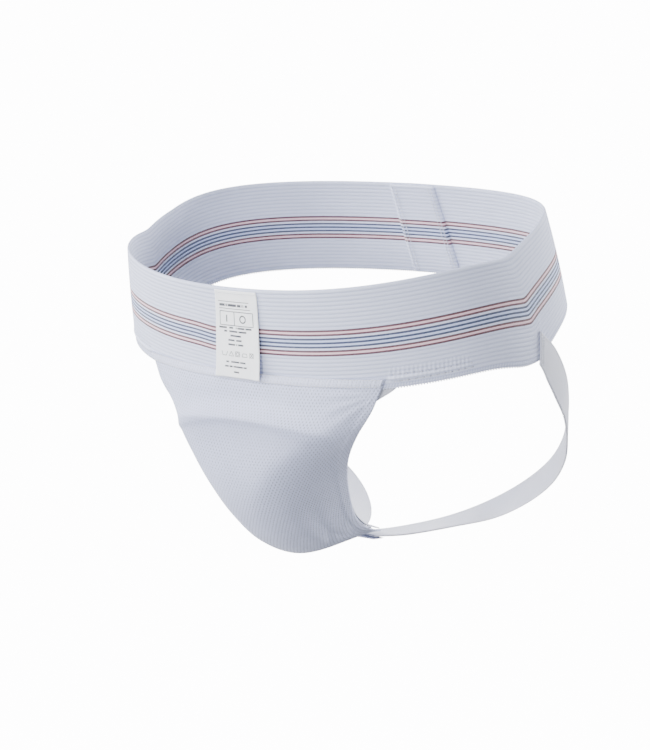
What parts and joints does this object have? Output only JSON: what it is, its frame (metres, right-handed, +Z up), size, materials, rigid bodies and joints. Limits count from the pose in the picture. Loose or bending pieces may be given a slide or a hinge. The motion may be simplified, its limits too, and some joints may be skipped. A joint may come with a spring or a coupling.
{
  "type": "groin protector",
  "caption": "Athletic groin protector: a wide striped elastic waistband, a mesh pouch that holds a hard vented cup with a soft rim, and leg straps that pass under the buttocks.",
  "frame": {"origin": "centre of the wearer's waist, level with the top edge of the waistband at the front", "axes": "+Z up along the wearer's body, +X to the wearer's left, the wearer faces -Y"},
  "size_m": [0.3634, 0.2676, 0.2756],
  "materials": {
    "band_elastic": "matte woven elastic with fine ribs and a coloured stripe",
    "pouch_mesh": "birdseye mesh knit",
    "pouch_tape": "matte knit tape",
    "lining_cloth": "soft plain knit",
    "narrow_elastic": "matte narrow elastic",
    "strap_elastic": "fine knit elastic with rolled edges",
    "thread": "polyester thread",
    "cup_plastic": "moulded plastic, satin",
    "gasket_rubber": "soft moulded rim",
    "label_satin": "smooth printed satin"
  },
  "bodies": {
    "root": {"waistband": "band_elastic", "waistband_lap": "band_elastic", "lap_stitches": "thread", "pouch_front": "pouch_mesh", "pouch_top_tape": "pouch_tape", "pouch_top_stitches": "thread", "pouch_lining": "lining_cloth", "pocket_mouth_elastic": "narrow_elastic", "leg_elastic_left": "narrow_elastic", "leg_elastic_right": "narrow_elastic", "tuck_stitches_left": "thread", "tuck_stitches_right": "thread", "leg_strap_left": "strap_elastic", "leg_strap_right": "strap_elastic", "strap_tack_left": "thread", "strap_tack_right": "thread", "base_tape": "pouch_tape", "base_stitches": "thread", "label_hem": "label_satin", "label_stitches": "thread"},
    "cup": {"cup_shell": "cup_plastic", "cup_gasket": "gasket_rubber"},
    "label": {"care_label": "label_satin"}
  },
  "joints": [
    {"name": "cup_slide", "type": "slide", "parent": "root", "child": "cup", "axis": [0, 0.6, 0.8], "range_m": [0, 0.2], "deforming": ["pouch_lining", "pocket_mouth_elastic"]},
    {"name": "label_flip", "type": "hinge", "parent": "root", "child": "label", "pos_m": [0, -0.1274, -0.0062], "axis": [-1, 0, 0], "range_deg": [0, 120]}
  ]
}
